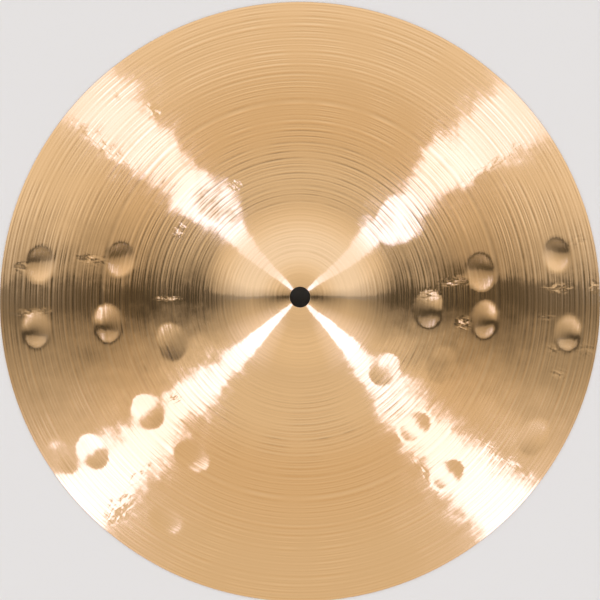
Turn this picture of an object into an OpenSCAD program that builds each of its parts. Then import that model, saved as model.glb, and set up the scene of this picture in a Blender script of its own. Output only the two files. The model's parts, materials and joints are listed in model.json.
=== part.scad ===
// A thin crash cymbal: one round sheet of bell bronze with a pressed cup, a shallow bow and a trimmed rim.
// The origin is on the cymbal's axis, level with the rim that it rests on, and the cup points up +Z.

/* [Plate] */
// Diameter from rim to rim
cymbal_d = 381; // [300:1:520]
// Radius that the top of the bow is bent to
bow_r = 850; // [650:10:1400]
// Thickness of the sheet where the bow meets the cup
bow_t = 1; // [0.8:0.1:2]
// Thickness of the sheet at the rim
rim_t = 0.7; // [0.5:0.1:1.5]
// Width of the flat that the rim rests on
rim_land = 0.4; // [0.2:0.1:0.8]
// Radius of the rim's upper edge
rim_round = 0.3; // [0.1:0.1:0.4]

/* [Cup] */
// Diameter of the circle where the cup's dome would meet the bow
cup_d = 85; // [70:1:130]
// Height of the cup above that circle
cup_h = 17.5; // [12:0.5:26]
// Thickness of the sheet at the top of the cup
cup_t = 1.3; // [1:0.1:2.5]
// Radius of the wide hollow bend that runs the cup out into the bow
bend_r = 78; // [10:1:120]

/* [Mounting hole] */
// Diameter of the hole for the stand's sleeve
hole_d = 12.7; // [10:0.1:16]

/* [Hidden] */
$fn = 256;

cymbal_r = cymbal_d / 2;
cup_r = cup_d / 2;

// Every arc of the section is centred on the axis, so the bow and the cup are parts of spheres.
// A point of the section is [distance from the axis, height].
bow_centre = rim_t - sqrt(pow(bow_r, 2) - pow(cymbal_r, 2));
rim_top = [cymbal_r, rim_t];
rim_under = [cymbal_r - rim_land, 0];
foot_top = [cup_r, bow_centre + sqrt(pow(bow_r, 2) - pow(cup_r, 2))];
foot_under = foot_top - [0, bow_t];
crown_top = [0, foot_top[1] + cup_h];
crown_under = crown_top - [0, cup_t];

// Height of the centre, on the axis, of the arc through the points a and b
function arc_centre(a, b) = (a * a - b * b) / (2 * (a[1] - b[1]));

// Radius of the arc with its centre at the height c on the axis, through the point a
function arc_radius(a, c) = norm(a - [0, c]);

// The point at the distances da and db from the points at the heights a and b on the axis
function off_axis(a, da, b, db) =
    let (z = (pow(da, 2) - pow(db, 2) - pow(a, 2) + pow(b, 2)) / (2 * (b - a)))
    [sqrt(pow(da, 2) - pow(z - a, 2)), z];

// Everything below one face of the sheet: the bow's disc, the cup's disc and the metal that fills the corner
// between them, up to a bend of radius r that touches both.
module below_face(crown, foot, rim, r) {
    cup_c = arc_centre(crown, foot);
    cup_curve = arc_radius(crown, cup_c);
    bow_c = arc_centre(foot, rim);
    bow_curve = arc_radius(rim, bow_c);
    bend_c = off_axis(cup_c, cup_curve + r, bow_c, bow_curve + r);
    translate([0, cup_c]) circle(cup_curve);
    translate([0, bow_c]) circle(bow_curve);
    difference() {
        polygon([[0, cup_c], [0, bow_c], bend_c]);
        translate(bend_c) circle(r);
    }
}

// The space between the hole and the rim that the sheet lies in, less what the rounding of the rim's upper edge
// takes off: a wedge between the two places where the rounding touches the bow and the rim's side
module trim() {
    side = cymbal_r - rim_round;
    lean = [side, sqrt(pow(bow_r - rim_round, 2) - pow(side, 2))];
    round_c = [0, bow_centre] + lean;
    difference() {
        translate([hole_d / 2, 0]) square([cymbal_r - hole_d / 2, crown_top[1]]);
        translate(round_c) difference() {
            polygon(2 * rim_round * [[0, 0], [1, 0], [1, 1], lean / norm(lean)]);
            circle(rim_round);
        }
    }
}

// The sheet itself, turned about the axis
module cymbal() {
    color("burlywood") rotate_extrude() intersection() {
        difference() {
            below_face(crown_top, foot_top, rim_top, bend_r);
            below_face(crown_under, foot_under, rim_under, bend_r + bow_t);
        }
        trim();
    }
}

cymbal();
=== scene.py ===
import json
import math

import bpy
import numpy as np
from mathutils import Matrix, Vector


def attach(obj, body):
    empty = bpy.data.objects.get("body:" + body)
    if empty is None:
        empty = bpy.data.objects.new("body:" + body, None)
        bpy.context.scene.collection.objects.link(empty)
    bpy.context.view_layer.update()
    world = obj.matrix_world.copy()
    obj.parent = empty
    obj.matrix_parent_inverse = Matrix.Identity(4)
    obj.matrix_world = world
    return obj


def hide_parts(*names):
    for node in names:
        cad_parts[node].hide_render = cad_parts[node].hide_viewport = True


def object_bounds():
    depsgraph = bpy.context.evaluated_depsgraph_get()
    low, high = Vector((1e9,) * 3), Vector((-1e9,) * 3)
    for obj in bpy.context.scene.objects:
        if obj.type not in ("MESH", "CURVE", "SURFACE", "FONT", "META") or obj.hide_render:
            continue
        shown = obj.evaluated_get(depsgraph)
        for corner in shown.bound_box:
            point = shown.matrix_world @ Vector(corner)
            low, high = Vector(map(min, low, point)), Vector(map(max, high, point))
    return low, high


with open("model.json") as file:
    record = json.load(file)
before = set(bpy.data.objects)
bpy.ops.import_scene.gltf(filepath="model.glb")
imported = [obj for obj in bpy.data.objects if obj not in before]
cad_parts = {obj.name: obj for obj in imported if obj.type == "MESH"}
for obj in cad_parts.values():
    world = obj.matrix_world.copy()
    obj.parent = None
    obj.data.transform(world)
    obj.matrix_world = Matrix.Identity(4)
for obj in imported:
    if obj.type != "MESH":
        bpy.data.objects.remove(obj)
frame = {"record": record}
cad_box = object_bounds()

# ------------------------------------------------------------------------------------------------------------
# Cymbal
# One round sheet of B20 bell bronze. It is cast and rolled out, its cup is pressed hot, the bow is hammered
# over an anvil, both faces are turned on a lathe, and the rim is trimmed and dressed. Lengths are in mm here.
# ------------------------------------------------------------------------------------------------------------

MM = 0.001
plate_r = round(cad_box[1][0] / MM, 2)
hole_r = next(m["dims"]["r_mm"] for m in frame["record"]["mounts"] if m["name"] == "stem_hole")
hole_break = 0.4    # rounding of the hole's two edges
bow_curve = 850     # radius that the top of the bow is bent to
bow_t = 1.0         # thickness of the sheet where the bow meets the cup
rim_t = 0.7         # thickness at the rim
rim_land = 0.4      # width of the flat that the rim rests on
rim_round = 0.3     # radius of the rim's upper edge
cup_r = 85 / 2      # radius of the circle where the cup's dome would meet the bow
cup_h = 17.5        # height of the cup above that circle
cup_t = 1.3         # thickness at the top of the cup
bend_r = 78         # radius of the wide hollow bend that runs the cup out into the bow

# The section's main points, as distance from the axis and height above the flat of the rim
bow_centre = rim_t - math.sqrt(bow_curve**2 - plate_r**2)
foot_top = (cup_r, bow_centre + math.sqrt(bow_curve**2 - cup_r**2))
foot_under = (cup_r, foot_top[1] - bow_t)
crown_top = (0, foot_top[1] + cup_h)
crown_under = (0, crown_top[1] - cup_t)


def sheet_face(crown, foot, rim, bend):
    """A function that gives the height of one face at any distance from the axis: cup, hollow bend, bow."""
    def centre(a, b):
        return (a[0]**2 + a[1]**2 - b[0]**2 - b[1]**2) / (2 * (a[1] - b[1]))
    cup_c, bow_c = centre(crown, foot), centre(foot, rim)
    cup_curve, curve = crown[1] - cup_c, math.hypot(rim[0], rim[1] - bow_c)
    bend_z = ((cup_curve + bend)**2 - (curve + bend)**2 - cup_c**2 + bow_c**2) / (2 * (bow_c - cup_c))
    bend_x = math.sqrt((cup_curve + bend)**2 - (bend_z - cup_c)**2)
    cup_ends = bend_x * cup_curve / (cup_curve + bend)
    bow_starts = bend_x * curve / (curve + bend)

    def height(r):
        if r < cup_ends:
            return cup_c + math.sqrt(cup_curve**2 - r**2)
        if r < bow_starts:
            return bend_z - math.sqrt(bend**2 - (r - bend_x)**2)
        return bow_c + math.sqrt(curve**2 - r**2)
    return height


top = sheet_face(crown_top, foot_top, (plate_r, rim_t), bend_r)
under = sheet_face(crown_under, foot_under, (plate_r - rim_land, 0), bend_r + bow_t)

# The section once round, from the hole's upper edge out over the top, down the rim and back in under the
# sheet. Rings stand close together beside every edge, so that the edges stay crisp and the faces stay true.
TOP_RINGS = 124
UNDER_RINGS = 31
beside_hole = [hole_r + hole_break, hole_r + hole_break + 0.1]
side = plate_r - rim_round
round_lean = math.sqrt((bow_curve - rim_round)**2 - side**2)
round_z = bow_centre + round_lean
touch = math.atan2(round_lean, side)
touch_r = side + rim_round * math.cos(touch)
top_rings = beside_hole + list(np.linspace(hole_r + 1, plate_r - 1.7, TOP_RINGS)) + [touch_r - 0.5, touch_r]
under_rings = [plate_r - rim_land, plate_r - rim_land - 0.4]
under_rings += list(np.linspace(plate_r - 2, hole_r + 1, UNDER_RINGS)) + beside_hole[::-1]
section = [(r, top(r)) for r in top_rings]
for lean in (touch * 3 / 4, touch * 2 / 4, touch / 4, 0):
    section.append((side + rim_round * math.cos(lean), round_z + rim_round * math.sin(lean)))
section += [(plate_r, 0.1), (plate_r - 0.1, 0)]
section += [(r, under(r)) for r in under_rings]
section += [(hole_r, under(hole_r) + hole_break)]
for lean in (0, math.radians(30), math.radians(60)):
    inward, below = hole_break * (1 - math.cos(lean)), hole_break * (1 - math.sin(lean))
    section.append((hole_r + inward, top(hole_r) - below))

SPOKES = 572
angle = np.arange(SPOKES) * 2 * math.pi / SPOKES
dist = np.array([p[0] for p in section])[:, None]
height = np.array([p[1] for p in section])[:, None]
draws = np.random.default_rng(15)


def fade(x, start, end):
    """0 before start and 1 after end, with a smooth rise between."""
    t = np.clip((x - start) / (end - start), 0, 1)
    return t * t * (3 - 2 * t)


def round_from(degrees, out):
    """How far each spoke lies from one at that many degrees, in mm round the plate at the distance out."""
    return out * ((angle - math.radians(degrees) + math.pi) % (2 * math.pi) - math.pi)


# Hammer marks: dents 23 mm long round the plate and 18 mm wide, struck in three rings. The lathe has since
# taken most of them off, and left these: degrees round from east, distance from the axis, depth in hundredths
# of a mm.
MARK_LONG = 11.5    # half a mark's length round the plate
MARK_WIDE = 9.0     # half its width along the spoke
WIDTHS_VARY = 0.08  # share by which they differ in width
LONGS_VARY = 0.06   # and in length
NOSE = 1.2          # how round the bottom of a mark is: 0 would be a cone
LEFT_BARE = 50      # depth from which the lathe only skims the bottom of a mark
lip = math.hypot(1, NOSE)
marks = np.zeros((len(section), SPOKES))
struck = np.zeros_like(marks)
for degrees, out, deep in [
    (8.5, 115, 68), (9.9, 165, 72), (167.5, 116, 62), (172.2, 166, 74), (187.3, 122, 90), (186.4, 168, 90),
    (198.6, 85, 30), (353.6, 117, 84), (352.8, 171, 90), (355.4, 81, 60), (335, 98, 10), (329.4, 171.5, 34),
    (216.6, 119, 31), (216.4, 162, 40), (213.4, 181, 22), (236, 120, 31), (239, 163, 42), (320, 69, 24),
    (311.9, 108, 36), (310.1, 144.5, 46), (48, 140, 5), (66, 138, 6), (97, 118, 6), (139, 150, 5),
    (112, 165, 6), (82, 168, 6),
]:
    across = (dist - out) / (MARK_WIDE * draws.uniform(1 - WIDTHS_VARY, 1 + WIDTHS_VARY))
    along = round_from(degrees, out) / (MARK_LONG * draws.uniform(1 - LONGS_VARY, 1 + LONGS_VARY))
    reach = np.hypot(across, along)
    marks -= deep / 100 * (lip - np.sqrt(np.minimum(reach, 1)**2 + NOSE**2)) / (lip - NOSE)
    struck = np.maximum(struck, fade(-reach, -1.1, -0.85) * min(deep / LEFT_BARE, 1))

# Places where the sheet has crumpled a little between blows: degrees, distance, half length round, half width
# out, and how badly
creased = np.zeros_like(marks)
for degrees, out, half_long, half_wide, badly in [
    (6.5, 98, 3, 9, 1), (351.5, 104, 4, 5, 1), (2.5, 163, 3, 9, 0.8), (2, 81, 4, 7, 0.7),
    (349, 163, 3, 4, 0.7), (2.4, 187, 4, 3, 1), (356, 157, 2, 6, 0.5), (12, 180, 4, 6, 0.3),
    (350, 184, 5, 6, 0.3), (344, 170, 3, 5, 0.5), (169.2, 134, 3, 9, 0.9), (173.2, 178, 3, 4, 1),
    (180, 82, 1.5, 9, 1), (182.6, 169, 3, 14, 0.6), (151.5, 87, 6, 4, 0.9), (119, 82, 4, 3, 0.9),
    (219, 100, 3, 4, 0.5), (227, 150, 4, 12, 0.2), (229, 174, 7, 12, 0.25), (322.5, 160, 4, 24, 0.15),
    (127.5, 152, 3, 4, 0.9), (35.5, 150, 4, 24, 0.12), (141.5, 160, 4, 24, 0.15), (133, 176, 8, 8, 0.15),
    (305.5, 130, 3, 10, 0.15),
]:
    reach = np.hypot(round_from(degrees, out) / half_long, (dist - out) / half_wide)
    creased = np.maximum(creased, fade(-reach, -1.5, -0.3) * badly)

# Two broad shallow dents beside the cup, where the upper corners of the plate were struck hardest
DENT_LONG = 16    # half a dent's length round the plate
DENT_WIDE = 18    # half its width along the spoke
for degrees, out, deep in [(37.5, 80, 18), (129.5, 80, 15)]:
    reach = (round_from(degrees, out) / DENT_LONG)**2 + ((dist - out) / DENT_WIDE)**2
    marks -= deep / 100 * np.clip(1 - reach, 0, None)**1.5

# Hammering also leaves the plate slightly wavy: slow rings, and a scatter of broad shallow blows 12 to 30 mm
# across, up to 0.06 mm high or deep.
WAVE_HIGH = 0.07
WAVE_LONG = 41      # distance from one slow ring to the next
WAVE_CREST = 104    # distance of one of them from the axis
BLOWS = 700
BLOWS_START = 58    # distance from the axis of the innermost blows
BLOWS_END = 186     # and of the outermost
waves = WAVE_HIGH * np.cos(2 * math.pi * (dist - WAVE_CREST) / WAVE_LONG) * np.ones_like(angle)
for blow in range(BLOWS):
    out = math.sqrt(draws.uniform(BLOWS_START**2, BLOWS_END**2))
    at = draws.uniform(0, 2 * math.pi)
    size = draws.uniform(5, 12)
    deep = size * draws.uniform(-0.005, 0.005)
    away = (dist * np.cos(angle) - out * math.cos(at))**2 + (dist * np.sin(angle) - out * math.sin(at))**2
    waves += deep * np.exp(-away / size**2)
# The cup isn't hammered, and the rim is dressed flat
shape = (marks + waves) * fade(dist, 56, 66) * (1 - fade(dist, 180, 189.5))

points = np.stack([dist * np.cos(angle), dist * np.sin(angle), height + shape], axis=-1).reshape(-1, 3) * MM
spoke = np.arange(SPOKES)
beside = (spoke + 1) % SPOKES
faces = []
for ring in range(len(section)):
    a, b = ring * SPOKES, (ring + 1) % len(section) * SPOKES
    faces.append(np.stack([a + spoke, b + spoke, b + beside, a + beside], axis=-1))
mesh = bpy.data.meshes.new("cymbal_plate")
mesh.from_pydata(points.tolist(), [], np.concatenate(faces).tolist())
mesh.shade_smooth()
# The finish follows how much each point was struck or creased, from 0 to 1
for name, mask in (("struck", struck), ("creased", creased)):
    mesh.attributes.new(name, "FLOAT", "POINT").data.foreach_set("value", mask.ravel())
mesh.validate()
plate = bpy.data.objects.new("cymbal_plate", mesh)
bpy.context.scene.collection.objects.link(plate)


def paint(code):
    """The linear colour of an sRGB hex code."""
    parts = [int(code[i:i + 2], 16) / 255 for i in (1, 3, 5)]
    return (*[c / 12.92 if c <= 0.04045 else ((c + 0.055) / 1.055)**2.4 for c in parts], 1)


def add(tree, kind, inputs, **settings):
    """Adds one node with its settings. Each input is a socket to link or a value to set."""
    made = tree.nodes.new("ShaderNode" + kind)
    for name, value in settings.items():
        setattr(made, name, value)
    for name, value in inputs.items():
        if isinstance(value, bpy.types.NodeSocket):
            tree.links.new(value, made.inputs[name])
        else:
            made.inputs[name].default_value = value
    return made


# Bell bronze, turned: the lathe's grooves run round the plate, so light spreads wide along the spokes and
# hardly at all round the plate. That draws each lamp out into a ray from the cup to the rim.
BRONZE = paint("#E9C497")
# The deeper colour that both the groove stain and the painted shade mix towards
TARNISH_AND_SHADE = paint("#DDAF7A")
CUT_ROUGH = 0.11    # roughness of the metal that the tool has cut
RIDGE_ROUGH = 0.1   # how much rougher the ridge between two grooves is
bronze = bpy.data.materials.new("turned_bell_bronze")
bronze.use_nodes = True
tree = bronze.node_tree
tree.nodes.clear()
place = add(tree, "TexCoord", {}).outputs["Object"]
normal = add(tree, "NewGeometry", {}).outputs["Normal"]
round_plate = add(tree, "Tangent", {}, direction_type="RADIAL", axis="Z").outputs["Tangent"]
outward = add(tree, "VectorMath", {0: round_plate, 1: normal}, operation="CROSS_PRODUCT").outputs["Vector"]

xyz = add(tree, "SeparateXYZ", {0: place}).outputs
flat = add(tree, "CombineXYZ", {"X": xyz["X"], "Y": xyz["Y"]}).outputs[0]
from_axis = add(tree, "VectorMath", {0: flat}, operation="LENGTH").outputs["Value"]
bearing = add(tree, "VectorMath", {0: flat}, operation="NORMALIZE").outputs["Vector"]

# Grooves: the tool leaves a shallow groove every 3.4 mm, never quite evenly, and a finer one every 2 mm or so
# from the cut before. Each bites deeper where the plate stands high, and less in a hammer mark or on the cup.
TOOL_STEP = 3.4 * MM
FINE_STEP = 1.95 * MM
FINE_SHARE = 1.3      # how steep the finer grooves are beside the others
GROOVE_TILT = 0.05    # radians that the side of a full groove leans
struck = add(tree, "Attribute", {}, attribute_name="struck").outputs["Fac"]
drift = add(tree, "TexNoise", {
    "W": from_axis, "Scale": 1 / (9 * MM), "Detail": 1.0,
}, noise_dimensions="1D").outputs["Fac"]
bite = add(tree, "TexNoise", {"Vector": place, "Scale": 1 / (22 * MM), "Detail": 1.0}).outputs["Fac"]
bite = add(tree, "MapRange", {"Value": bite, "From Min": 0.35, "From Max": 0.65, "To Min": 0.3}).outputs[0]
lathed = add(tree, "Math", {0: struck, 1: -0.6, 2: 1.0}, operation="MULTIPLY_ADD").outputs[0]
bite = add(tree, "Math", {0: bite, 1: lathed}, operation="MULTIPLY").outputs[0]
on_bow = add(tree, "MapRange", {
    "Value": from_axis, "From Min": 40 * MM, "From Max": 85 * MM, "To Min": 0.4,
}).outputs[0]
cuts = []
for step, wandering in ((TOOL_STEP, 6.5), (FINE_STEP, 14.0)):
    turns = add(tree, "Math", {0: drift, 1: wandering}, operation="MULTIPLY").outputs[0]
    turns = add(tree, "Math", {
        0: from_axis, 1: 2 * math.pi / step, 2: turns,
    }, operation="MULTIPLY_ADD").outputs[0]
    slope = add(tree, "Math", {0: turns}, operation="SINE").outputs[0]
    crest = add(tree, "Math", {0: turns}, operation="COSINE").outputs[0]
    ridge = add(tree, "MapRange", {
        "Value": crest, "From Min": 0.65, "From Max": 1.0,
    }, interpolation_type="SMOOTHSTEP").outputs[0]
    cuts.append((slope, crest, ridge))
(slope, crest, ridge), (fine_slope, fine_crest, fine_ridge) = cuts
slope = add(tree, "Math", {0: fine_slope, 1: FINE_SHARE, 2: slope}, operation="MULTIPLY_ADD").outputs[0]
crest = add(tree, "Math", {0: fine_crest, 1: FINE_SHARE, 2: crest}, operation="MULTIPLY_ADD").outputs[0]
ridge = add(tree, "Math", {0: ridge, 1: fine_ridge}, operation="MAXIMUM").outputs[0]
tilt = add(tree, "Math", {0: slope, 1: bite}, operation="MULTIPLY").outputs[0]
tilt = add(tree, "Math", {0: tilt, 1: on_bow}, operation="MULTIPLY").outputs[0]
tilt = add(tree, "Math", {0: tilt, 1: GROOVE_TILT}, operation="MULTIPLY").outputs[0]
push = add(tree, "VectorMath", {0: outward, "Scale": tilt}, operation="SCALE").outputs["Vector"]
roughness = add(tree, "Math", {0: ridge, 1: bite}, operation="MULTIPLY").outputs[0]
roughness = add(tree, "Math", {
    0: roughness, 1: RIDGE_ROUGH, 2: CUT_ROUGH,
}, operation="MULTIPLY_ADD").outputs[0]

# Places that the lathe missed between hammer blows, about 7 mm across, lean a little round the plate
MISSED_LEAN = 0.005
missed = add(tree, "TexNoise", {
    "Vector": place, "Scale": 1 / (7 * MM), "Detail": 3.0, "Roughness": 0.6,
}).outputs["Fac"]
missed = add(tree, "MapRange", {
    "Value": missed, "From Min": 0.3, "From Max": 0.7, "To Min": -MISSED_LEAN, "To Max": MISSED_LEAN,
}).outputs[0]
# No groove runs quite true: each wanders in and out a little, over 30 mm or so of its way round
WANDER_LEAN = 0.003
ring = add(tree, "Math", {0: from_axis, 1: 1 / (2.4 * MM)}, operation="MULTIPLY").outputs[0]
ring = add(tree, "CombineXYZ", {"Z": ring}).outputs[0]
along_groove = add(tree, "VectorMath", {
    0: bearing, 1: (4.0, 4.0, 4.0), 2: ring,
}, operation="MULTIPLY_ADD").outputs["Vector"]
wander = add(tree, "TexNoise", {"Vector": along_groove, "Scale": 1.0, "Detail": 1.0}).outputs["Fac"]
wander = add(tree, "MapRange", {
    "Value": wander, "From Min": 0.25, "From Max": 0.75, "To Min": -WANDER_LEAN, "To Max": WANDER_LEAN,
}).outputs[0]
# Crumpled places have facets 2 mm wide and 6 mm long that lean up to 6 degrees round the plate
FACET_LEAN = 0.1
creased = add(tree, "Attribute", {}, attribute_name="creased").outputs["Fac"]
ring = add(tree, "Math", {0: from_axis, 1: 1 / (6 * MM)}, operation="MULTIPLY").outputs[0]
ring = add(tree, "CombineXYZ", {"Z": ring}).outputs[0]
along_spoke = add(tree, "VectorMath", {
    0: bearing, 1: (65.0, 65.0, 65.0), 2: ring,
}, operation="MULTIPLY_ADD").outputs["Vector"]
facets = add(tree, "TexNoise", {
    "Vector": along_spoke, "Scale": 1.0, "Detail": 2.0, "Distortion": 0.8,
}).outputs["Fac"]
facets = add(tree, "MapRange", {
    "Value": facets, "From Min": 0.3, "From Max": 0.7, "To Min": -FACET_LEAN, "To Max": FACET_LEAN,
}).outputs[0]
lean = add(tree, "Math", {0: missed, 1: wander}, operation="ADD").outputs[0]
lean = add(tree, "Math", {0: creased, 1: facets, 2: lean}, operation="MULTIPLY_ADD").outputs[0]
lean = add(tree, "VectorMath", {0: round_plate, "Scale": lean}, operation="SCALE").outputs["Vector"]
tipped = add(tree, "VectorMath", {0: normal, 1: push}, operation="ADD").outputs["Vector"]
tipped = add(tree, "VectorMath", {0: tipped, 1: lean}, operation="ADD").outputs["Vector"]
tipped = add(tree, "VectorMath", {0: tipped}, operation="NORMALIZE").outputs["Vector"]

# Colour: lacquer and a little tarnish lie in the grooves, and the middle of the bow carries painted shade
GROOVE_STAIN = 0.15
PLAIN_STAIN = 0.3
# How far the painted shade deepens the colour over the middle of the bow
MIDDLE_PAINTED_SHADE = 0.45
# Painted shade: the colour deepens from 80 mm out over the middle of the bow, where it reflects the dimmest
# light, and eases towards the rim
near_middle = add(tree, "MapRange", {
    "Value": from_axis, "From Min": 80 * MM, "From Max": 105 * MM,
}).outputs[0]
near_rim = add(tree, "MapRange", {
    "Value": from_axis, "From Min": 120 * MM, "From Max": 165 * MM, "To Max": 0.8,
}).outputs[0]
painted_shade = add(tree, "Math", {0: near_middle, 1: near_rim}, operation="SUBTRACT").outputs[0]
stain_and_painted_shade = add(tree, "Math", {0: crest, 1: bite}, operation="MULTIPLY").outputs[0]
stain_and_painted_shade = add(tree, "Math", {0: stain_and_painted_shade, 1: on_bow}, operation="MULTIPLY").outputs[0]
stain_and_painted_shade = add(tree, "Math", {0: stain_and_painted_shade, 1: GROOVE_STAIN, 2: PLAIN_STAIN}, operation="MULTIPLY_ADD").outputs[0]
# Adds the painted shade over the middle of the bow on top of the groove stain
stain_and_painted_shade = add(tree, "Math", {0: painted_shade, 1: MIDDLE_PAINTED_SHADE, 2: stain_and_painted_shade}, operation="MULTIPLY_ADD").outputs[0]
colour = add(tree, "Mix", {0: stain_and_painted_shade, 6: BRONZE, 7: TARNISH_AND_SHADE}, data_type="RGBA").outputs[2]

shader = add(tree, "BsdfPrincipled", {
    "Base Color": colour,
    "Metallic": 1.0,
    "Roughness": roughness,
    "Anisotropic": 1.0,
    "Tangent": outward,
    "Normal": tipped,
}).outputs["BSDF"]
add(tree, "OutputMaterial", {"Surface": shader})
mesh.materials.append(bronze)
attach(plate, "root")
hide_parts("cymbal")

# ------------------------------------------------------------------------------------------------------------
# Floor
# A plain pale sheet of paper, level with the flat of the rim. It is wide enough to run out of every view.
# ------------------------------------------------------------------------------------------------------------

far = 3.0    # metres from the middle to each side
floor_mesh = bpy.data.meshes.new("floor")
floor_mesh.from_pydata([(-far, -far, 0), (far, -far, 0), (far, far, 0), (-far, far, 0)], [], [(0, 1, 2, 3)])
floor = bpy.data.objects.new("floor", floor_mesh)
bpy.context.scene.collection.objects.link(floor)
# Matt paper, a little warm, so that it looks neutral under the cool light
paper = bpy.data.materials.new("floor_paper")
paper.use_nodes = True
tree = paper.node_tree
tree.nodes.clear()
shader = add(tree, "BsdfPrincipled", {"Base Color": paint("#E4DECF"), "Roughness": 0.9}).outputs["BSDF"]
add(tree, "OutputMaterial", {"Surface": shader})
floor_mesh.materials.append(paper)

# ------------------------------------------------------------------------------------------------------------
# Studio
# Two broad soft banks overhead with a dark gap between them that runs east to west, pale walls, and four
# narrow strip banks at the corners. The light comes from directions alone, so there are no lamp objects.
# ------------------------------------------------------------------------------------------------------------

QUARTER = 90    # degrees from straight overhead to the floor's level, over which "down" goes from 0 to 1
LEANS = math.radians(2.7)    # tilt of the whole rig, so that the camera sees its middle over the cup
world = bpy.data.worlds.new("studio")
bpy.context.scene.world = world
world.use_nodes = True
tree = world.node_tree
tree.nodes.clear()
toward = add(tree, "TexCoord", {}).outputs["Generated"]
toward = add(tree, "VectorRotate", {"Vector": toward, "Angle": LEANS}, rotation_type="X_AXIS").outputs[0]
xyz = add(tree, "SeparateXYZ", {0: toward}).outputs
down = add(tree, "Math", {0: xyz["Z"]}, operation="ARCCOSINE").outputs[0]
down = add(tree, "Math", {0: down, 1: 2 / math.pi}, operation="MULTIPLY").outputs[0]
turn = add(tree, "Math", {0: xyz["Y"], 1: xyz["X"]}, operation="ARCTAN2").outputs[0]
beside_x = add(tree, "Math", {0: xyz["X"]}, operation="ABSOLUTE").outputs[0]
beside_y = add(tree, "Math", {0: xyz["Y"]}, operation="ABSOLUTE").outputs[0]
off_line = add(tree, "Math", {0: beside_y, 1: beside_x}, operation="ARCTAN2").outputs[0]
on_north = add(tree, "Math", {0: xyz["Y"], 1: 0.0}, operation="GREATER_THAN").outputs[0]
on_south = add(tree, "Math", {0: 1.0, 1: on_north}, operation="SUBTRACT").outputs[0]

# How bright each zone is, at so many degrees down from overhead
zones = {
    "gap": [(0, 0.07), (15, 0.07), (22, 0.09), (30, 0.2), (40, 0.36), (60, 0.52), (86, 0.8)],
    "north": [
        (0, 0.7), (7, 0.87), (14, 0.86), (20, 0.82), (27, 0.9), (34, 1.04), (42, 1.13), (60, 1.26),
        (86, 0.85),
    ],
    "south": [(0, 0.7), (7, 0.88), (14, 0.88), (24, 0.82), (34, 0.8), (42, 0.86), (60, 0.95), (86, 0.8)],
    "upper strips": [
        (7, 0), (9, 2.1), (18, 1.9), (22, 1.3), (27, 0.92), (32, 0.68), (38, 0.46), (46, 0.3), (62, 0.28),
        (76, 0),
    ],
    "lower strips": [
        (6, 0), (8, 1.8), (20, 1.6), (26, 1.2), (31, 1.5), (36, 2.0), (60, 2.0), (74, 0.6), (80, 0),
    ],
}
bright = {}
for zone, stops in zones.items():
    ramp = add(tree, "ValToRGB", {0: down})
    while len(ramp.color_ramp.elements) < len(stops):
        ramp.color_ramp.elements.new(0.5)
    for stop, (degrees, value) in zip(ramp.color_ramp.elements, stops):
        stop.position = degrees / QUARTER
        stop.color = (value, value, value, 1)
    bright[zone] = ramp.outputs["Color"]

# The north bank has a straight crisp edge along the gap and brightens from there. The south bank has a soft
# edge that fans out from overhead.
crisp = add(tree, "MapRange", {
    "Value": xyz["Y"], "From Min": 0.036, "From Max": 0.046, "To Max": 0.4,
}).outputs[0]
slow_rise = add(tree, "MapRange", {
    "Value": xyz["Y"], "From Min": 0.046, "From Max": 0.2, "To Max": 0.6,
}).outputs[0]
north_bank = add(tree, "Math", {0: crisp, 1: slow_rise}, operation="ADD").outputs[0]
north_bank = add(tree, "Math", {0: north_bank, 1: on_north}, operation="MULTIPLY").outputs[0]
south_bank = add(tree, "MapRange", {
    "Value": off_line, "From Min": math.radians(2), "From Max": math.radians(31),
}).outputs[0]
south_bank = add(tree, "Math", {0: south_bank, 1: on_south}, operation="MULTIPLY").outputs[0]
sky = add(tree, "Mix", {0: north_bank, 6: bright["gap"], 7: bright["north"]}, data_type="RGBA").outputs[2]
sky = add(tree, "Mix", {0: south_bank, 6: sky, 7: bright["south"]}, data_type="RGBA").outputs[2]

# Overhead the banks are a little warm. Low in the north they are a little cool.
WARM = (1.05, 1.0, 0.9, 1)
COOL = (0.95, 1.0, 1.12, 1)
cooler = add(tree, "MapRange", {
    "Value": down, "From Min": 26 / QUARTER, "From Max": 50 / QUARTER,
}).outputs[0]
cooler = add(tree, "Math", {0: cooler, 1: on_north}, operation="MULTIPLY").outputs[0]
tint = add(tree, "Mix", {0: cooler, 6: WARM, 7: COOL}, data_type="RGBA").outputs[2]
sky = add(tree, "Mix", {0: 1.0, 6: sky, 7: tint}, data_type="RGBA", blend_type="MULTIPLY").outputs[2]

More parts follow.
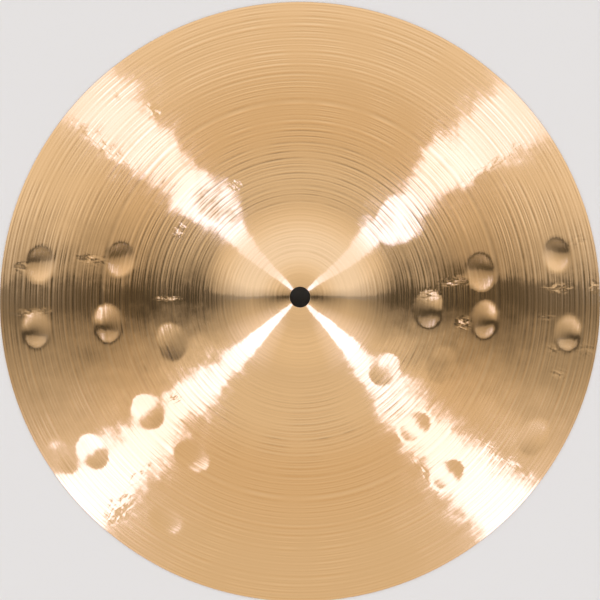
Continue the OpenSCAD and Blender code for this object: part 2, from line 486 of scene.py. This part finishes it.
# The strips: degrees round from east, how far the lower half swings round, how wide the strip is, and how
# much light spills beside its lower half. Their light is blue, and bronze turns it nearly white.
BLUE_WHITE = (0.74, 0.96, 1.95, 1)
SOFT_EDGE = 1     # degrees, each side of a strip's edge
SPILL_ENDS = 26   # degrees from the middle of the strip
total = None
for at, swings, wide, spill, kind in [
    (41.8, -2, 13.4, 0, "upper strips"), (134.4, 1, 13, 0, "upper strips"),
    (222.5, -0.5, 14, 0.13, "lower strips"), (313.4, 3.2, 14, 0.13, "lower strips"),
]:
    centre = add(tree, "MapRange", {
        "Value": down, "From Min": 26 / QUARTER, "From Max": 40 / QUARTER,
        "To Min": math.radians(at), "To Max": math.radians(at + swings),
    }).outputs[0]
    off = add(tree, "Math", {0: turn, 1: centre}, operation="SUBTRACT").outputs[0]
    off = add(tree, "Math", {0: off, 1: math.pi, 2: -math.pi}, operation="WRAP").outputs[0]
    off = add(tree, "Math", {0: off}, operation="ABSOLUTE").outputs[0]
    inside = add(tree, "MapRange", {
        "Value": off,
        "From Min": math.radians(wide / 2 + SOFT_EDGE), "From Max": math.radians(wide / 2 - SOFT_EDGE),
    }, interpolation_type="SMOOTHSTEP").outputs[0]
    spilt = add(tree, "MapRange", {
        "Value": off, "From Min": math.radians(SPILL_ENDS), "From Max": math.radians(wide / 2),
    }).outputs[0]
    low_down = add(tree, "MapRange", {
        "Value": down, "From Min": 28 / QUARTER, "From Max": 38 / QUARTER, "To Max": spill,
    }).outputs[0]
    spilt = add(tree, "Math", {0: spilt, 1: low_down}, operation="MULTIPLY").outputs[0]
    inside = add(tree, "Math", {0: inside, 1: spilt}, operation="MAXIMUM").outputs[0]
    strip = add(tree, "Math", {0: inside, 1: bright[kind]}, operation="MULTIPLY").outputs[0]
    total = strip if total is None else add(tree, "Math", {0: total, 1: strip}, operation="ADD").outputs[0]
strips = add(tree, "Mix", {
    0: 1.0, 6: total, 7: BLUE_WHITE,
}, data_type="RGBA", blend_type="MULTIPLY").outputs[2]
light = add(tree, "Mix", {0: 1.0, 6: sky, 7: strips}, data_type="RGBA", blend_type="ADD").outputs[2]

# Plain pale walls stand behind it all, up to about 20 degrees above the floor
WALLS = (0.8, 0.8, 0.8, 1)
on_walls = add(tree, "MapRange", {
    "Value": down, "From Min": 66 / QUARTER, "From Max": 74 / QUARTER,
}, interpolation_type="SMOOTHSTEP").outputs[0]
light = add(tree, "Mix", {0: on_walls, 6: light, 7: WALLS}, data_type="RGBA").outputs[2]
glow = add(tree, "Background", {"Color": light, "Strength": 1.0}).outputs[0]
add(tree, "OutputWorld", {"Surface": glow})

# ------------------------------------------------------------------------------------------------------------
# Camera
# It hangs almost straight above the plate, a little to the south.
# Its long lens takes in just the width of the plate.
# ------------------------------------------------------------------------------------------------------------

AWAY = 1.55                      # metres from the middle of the rim's plane
RAISED = math.radians(87.3)      # above the floor, as seen from there
lens = bpy.data.cameras.new("camera")
camera = bpy.data.objects.new("camera", lens)
bpy.context.scene.collection.objects.link(camera)
camera.location = (0, -AWAY * math.cos(RAISED), AWAY * math.sin(RAISED))
camera.rotation_euler = (-camera.location).to_track_quat("-Z", "Y").to_euler()
lens.sensor_width = 36
lens.lens = lens.sensor_width * AWAY / (2 * plate_r * MM)
lens.clip_start = 0.05
lens.clip_end = 30
bpy.context.scene.camera = camera
bpy.context.scene.view_settings.view_transform = "Standard"
